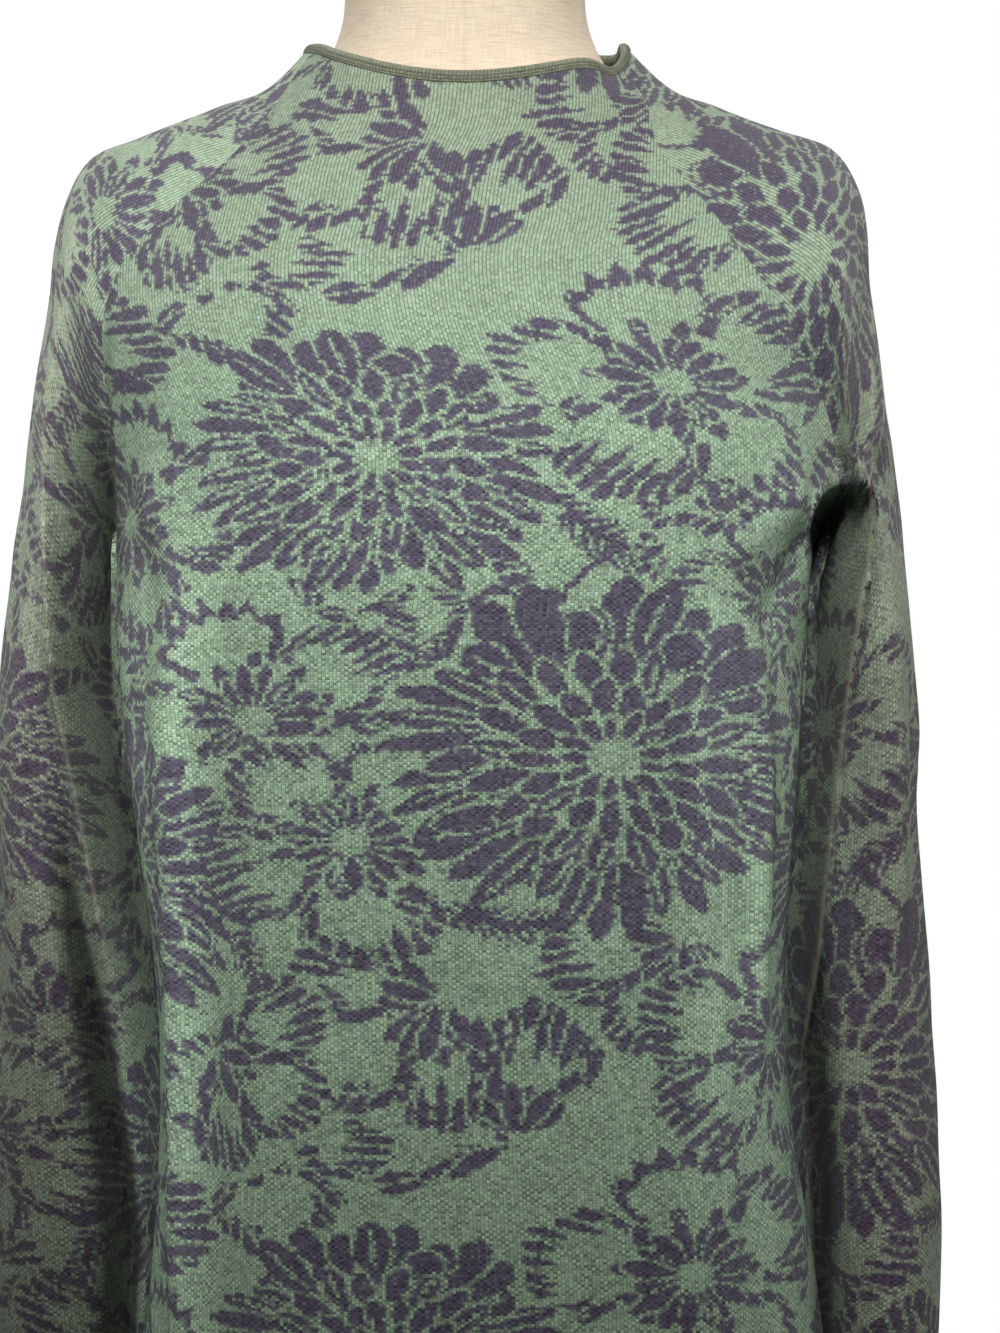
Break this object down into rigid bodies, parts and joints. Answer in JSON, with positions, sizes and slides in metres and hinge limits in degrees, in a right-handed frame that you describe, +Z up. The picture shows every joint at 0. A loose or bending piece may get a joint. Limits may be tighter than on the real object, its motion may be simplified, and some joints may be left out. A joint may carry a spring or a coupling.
{
  "type": "sweater dress on a limbless dress form",
  "caption": "Long jacquard-knit raglan sweater dress with a short funnel neck, hollow and worn on a smooth limbless dress form on a pole stand.",
  "frame": {"origin": "centre of the underside of the stand's base, on the floor", "axes": "+Z up the pole to the form's neck, front of the dress faces -Y, +X is the right-hand side of a viewer who faces the front"},
  "size_m": [0.4642, 0.38, 1.521],
  "materials": {
    "jacquard_knit": "two-colour wool jacquard, sage green ground with aubergine flowers, soft brushed fuzz",
    "rim_knit": "plain green rolled stocking stitch",
    "linen_cover": "natural linen with slubs, stretched smooth",
    "powder_coat": "fine satin texture",
    "steel": "brushed"
  },
  "bodies": {
    "root": {"dress_front": "jacquard_knit", "dress_back": "jacquard_knit", "sleeve_left": "jacquard_knit", "sleeve_right": "jacquard_knit", "neck_rim": "rim_knit", "form_body": "linen_cover", "stand_flange": "steel", "stand_pole": "steel", "stand_foot": "steel", "stand_base": "powder_coat"}
  },
  "joints": []
}
